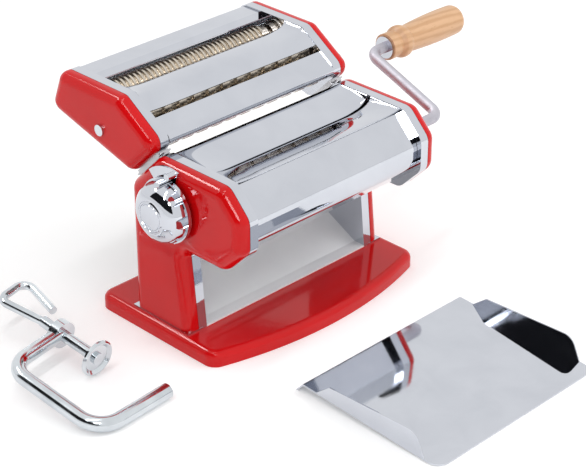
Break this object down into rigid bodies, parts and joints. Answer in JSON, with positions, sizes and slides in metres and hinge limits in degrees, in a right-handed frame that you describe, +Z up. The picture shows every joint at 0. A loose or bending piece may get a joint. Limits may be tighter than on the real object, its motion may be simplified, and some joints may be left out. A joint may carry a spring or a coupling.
{
  "type": "pasta roller machine",
  "caption": "Hand-cranked table-top pasta roller with enamelled sides, chrome covers, a gap dial, a slide-on strip cutter, a table clamp and a crumb tray",
  "frame": {"origin": "centre of the base plate's underside, on the standing surface", "axes": "+X to the crank side, -Y to the front where the sheet comes out, +Z up"},
  "size_m": [0.441, 0.3416, 0.1635],
  "materials": {
    "red_enamel": "glossy enamel",
    "polished_chrome": "polished",
    "ground_steel": "ground",
    "zinc_plating": "bright zinc",
    "satin_rod": "satin",
    "gear_steel": "machined, oiled",
    "bronze_bush": "plain bearing",
    "beech": "waxed"
  },
  "bodies": {
    "frame": {"base_plate": "red_enamel", "left_side_plate": "polished_chrome", "right_side_plate": "polished_chrome", "left_casing": "red_enamel", "right_casing": "red_enamel", "tie_rods": "zinc_plating", "casing_posts": "zinc_plating", "base_bolts": "zinc_plating", "front_cover": "polished_chrome", "front_hopper_plate": "polished_chrome", "rear_hopper_plate": "polished_chrome", "rear_cover": "polished_chrome", "chute_panel": "polished_chrome", "front_bushes": "bronze_bush", "block_guides": "zinc_plating", "front_scraper": "ground_steel", "regulator_bush": "bronze_bush", "index_plate": "polished_chrome", "cutter_rails": "ground_steel", "clamp_socket": "zinc_plating"},
    "drive_roller": {"front_roller": "ground_steel", "front_gear": "gear_steel"},
    "crank": {"crank_rod": "satin_rod", "grip_ferrule": "polished_chrome"},
    "grip": {"wooden_grip": "beech"},
    "regulator": {"regulator_shaft": "zinc_plating", "regulator_cam": "zinc_plating", "regulator_screw": "zinc_plating"},
    "dial": {"dial_knob": "polished_chrome", "dial_cap": "polished_chrome", "dial_spring": "zinc_plating"},
    "carriage": {"bearing_blocks": "zinc_plating", "carriage_bar": "ground_steel", "rear_scraper": "ground_steel"},
    "gap_roller": {"rear_roller": "ground_steel", "rear_gear": "gear_steel"},
    "cutter": {"cutter_left_plate": "polished_chrome", "cutter_right_plate": "polished_chrome", "cutter_left_cap": "red_enamel", "cutter_right_cap": "red_enamel", "cutter_front_plate": "polished_chrome", "cutter_mid_plate": "polished_chrome", "cutter_rear_plate": "polished_chrome", "cutter_runners": "ground_steel", "cutter_tie_rods": "zinc_plating", "cutter_cap_screws": "zinc_plating", "cutter_bushes": "bronze_bush"},
    "fine_drive": {"fine_drive_roller": "ground_steel", "fine_drive_gear": "gear_steel"},
    "fine_driven": {"fine_driven_roller": "ground_steel", "fine_driven_gear": "gear_steel"},
    "wide_drive": {"wide_drive_roller": "ground_steel", "wide_drive_gear": "gear_steel"},
    "wide_driven": {"wide_driven_roller": "ground_steel", "wide_driven_gear": "gear_steel"},
    "clamp": {"clamp_frame": "zinc_plating"},
    "pad": {"clamp_pad": "zinc_plating"},
    "screw": {"clamp_screw": "zinc_plating"},
    "dough_tray": {"tray": "polished_chrome"}
  },
  "joints": [
    {"name": "roller_spin", "type": "hinge", "parent": "frame", "child": "drive_roller", "pos_m": [0, -0.039, 0.103], "axis": [1, 0, 0], "continuous": true},
    {"name": "crank_pull", "type": "slide", "parent": "drive_roller", "child": "crank", "axis": [1, 0, 0], "range_m": [0, 0.03]},
    {"name": "grip_spin", "type": "hinge", "parent": "crank", "child": "grip", "pos_m": [0.19, 0.02897, 0.12964], "axis": [1, 0, 0], "continuous": true},
    {"name": "dial_turn", "type": "hinge", "parent": "frame", "child": "regulator", "pos_m": [-0.09, -0.0088, 0.103], "axis": [-1, 0, 0], "range_deg": [0, 300]},
    {"name": "dial_pull", "type": "slide", "parent": "regulator", "child": "dial", "axis": [-1, 0, 0], "range_m": [0, 0.004], "stiffness_N_per_m": 600, "deforming": ["dial_spring"]},
    {"name": "gap_shift", "type": "slide", "parent": "frame", "child": "carriage", "axis": [0, -1, 0], "range_m": [0, 0.002]},
    {"name": "rear_spin", "type": "hinge", "parent": "carriage", "child": "gap_roller", "pos_m": [0, -0.0088, 0.103], "axis": [1, 0, 0], "continuous": true},
    {"name": "cutter_slide", "type": "slide", "parent": "frame", "child": "cutter", "axis": [0, -0.7071, 0.7071], "range_m": [0, 0.06]},
    {"name": "fine_spin", "type": "hinge", "parent": "cutter", "child": "fine_drive", "pos_m": [0, 0.062, 0.146], "axis": [1, 0, 0], "continuous": true},
    {"name": "fine_follow", "type": "hinge", "parent": "cutter", "child": "fine_driven", "pos_m": [0, 0.08, 0.146], "axis": [1, 0, 0], "continuous": true},
    {"name": "wide_spin", "type": "hinge", "parent": "cutter", "child": "wide_drive", "pos_m": [0, 0.02545, 0.13735], "axis": [1, 0, 0], "continuous": true},
    {"name": "wide_follow", "type": "hinge", "parent": "cutter", "child": "wide_driven", "pos_m": [0, 0.04048, 0.14726], "axis": [1, 0, 0], "continuous": true},
    {"name": "clamp_lift", "type": "slide", "parent": "frame", "child": "clamp", "axis": [0, 0, 1], "range_m": [0, 0.1]},
    {"name": "clamp_feed", "type": "slide", "parent": "clamp", "child": "pad", "axis": [-0.069, 0.9871, 0.1444], "range_m": [-0.012, 0.02]},
    {"name": "clamp_turn", "type": "hinge", "parent": "pad", "child": "screw", "pos_m": [-0.15272, -0.05458, 0.0052], "axis": [-0.069, 0.9871, 0.1444], "range_deg": [-2160, 3600]},
    {"name": "tray_lift", "type": "slide", "parent": "frame", "child": "dough_tray", "axis": [0, 0, 1], "range_m": [0, 0.1]}
  ],
  "couplings": [
    {"joint": "rear_spin", "follows": "roller_spin", "ratio": -1},
    {"joint": "dial_turn", "follows": "gap_shift", "rad_per_m": 2618},
    {"joint": "fine_follow", "follows": "fine_spin", "ratio": -1},
    {"joint": "wide_follow", "follows": "wide_spin", "ratio": -1},
    {"joint": "clamp_turn", "follows": "clamp_feed", "rad_per_m": 3141.6}
  ]
}
